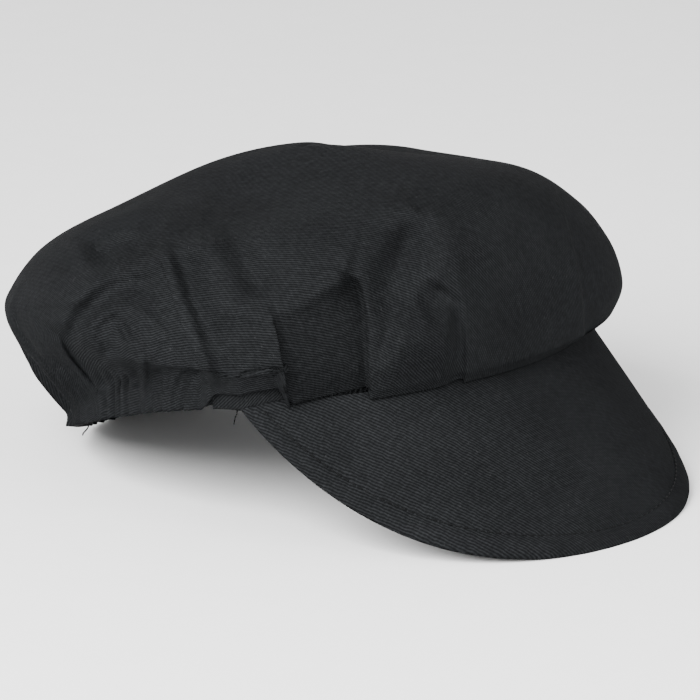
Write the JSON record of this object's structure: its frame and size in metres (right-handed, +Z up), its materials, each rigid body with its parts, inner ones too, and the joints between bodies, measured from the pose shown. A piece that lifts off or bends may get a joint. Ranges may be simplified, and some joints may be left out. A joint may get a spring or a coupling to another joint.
{
  "type": "deli cap",
  "caption": "Soft peaked cap with a puffed crown, pleated at the front and gathered at the back onto an elastic band, and a stiff sloping peak.",
  "frame": {"origin": "on the surface that the cap rests on, under the middle of the cap", "axes": "+Z up, the peak points along -Y, the wearer's left is +X"},
  "size_m": [0.1772, 0.2134, 0.0961],
  "materials": {
    "twill": "black cotton twill, soft sheen",
    "peak_twill": "black cotton twill over a stiff board, stitched edge",
    "band_twill": "black cotton twill, gathered over elastic at the back"
  },
  "bodies": {
    "root": {"crown": "twill", "peak": "peak_twill", "front_band": "band_twill", "elastic_band": "band_twill"}
  },
  "joints": []
}
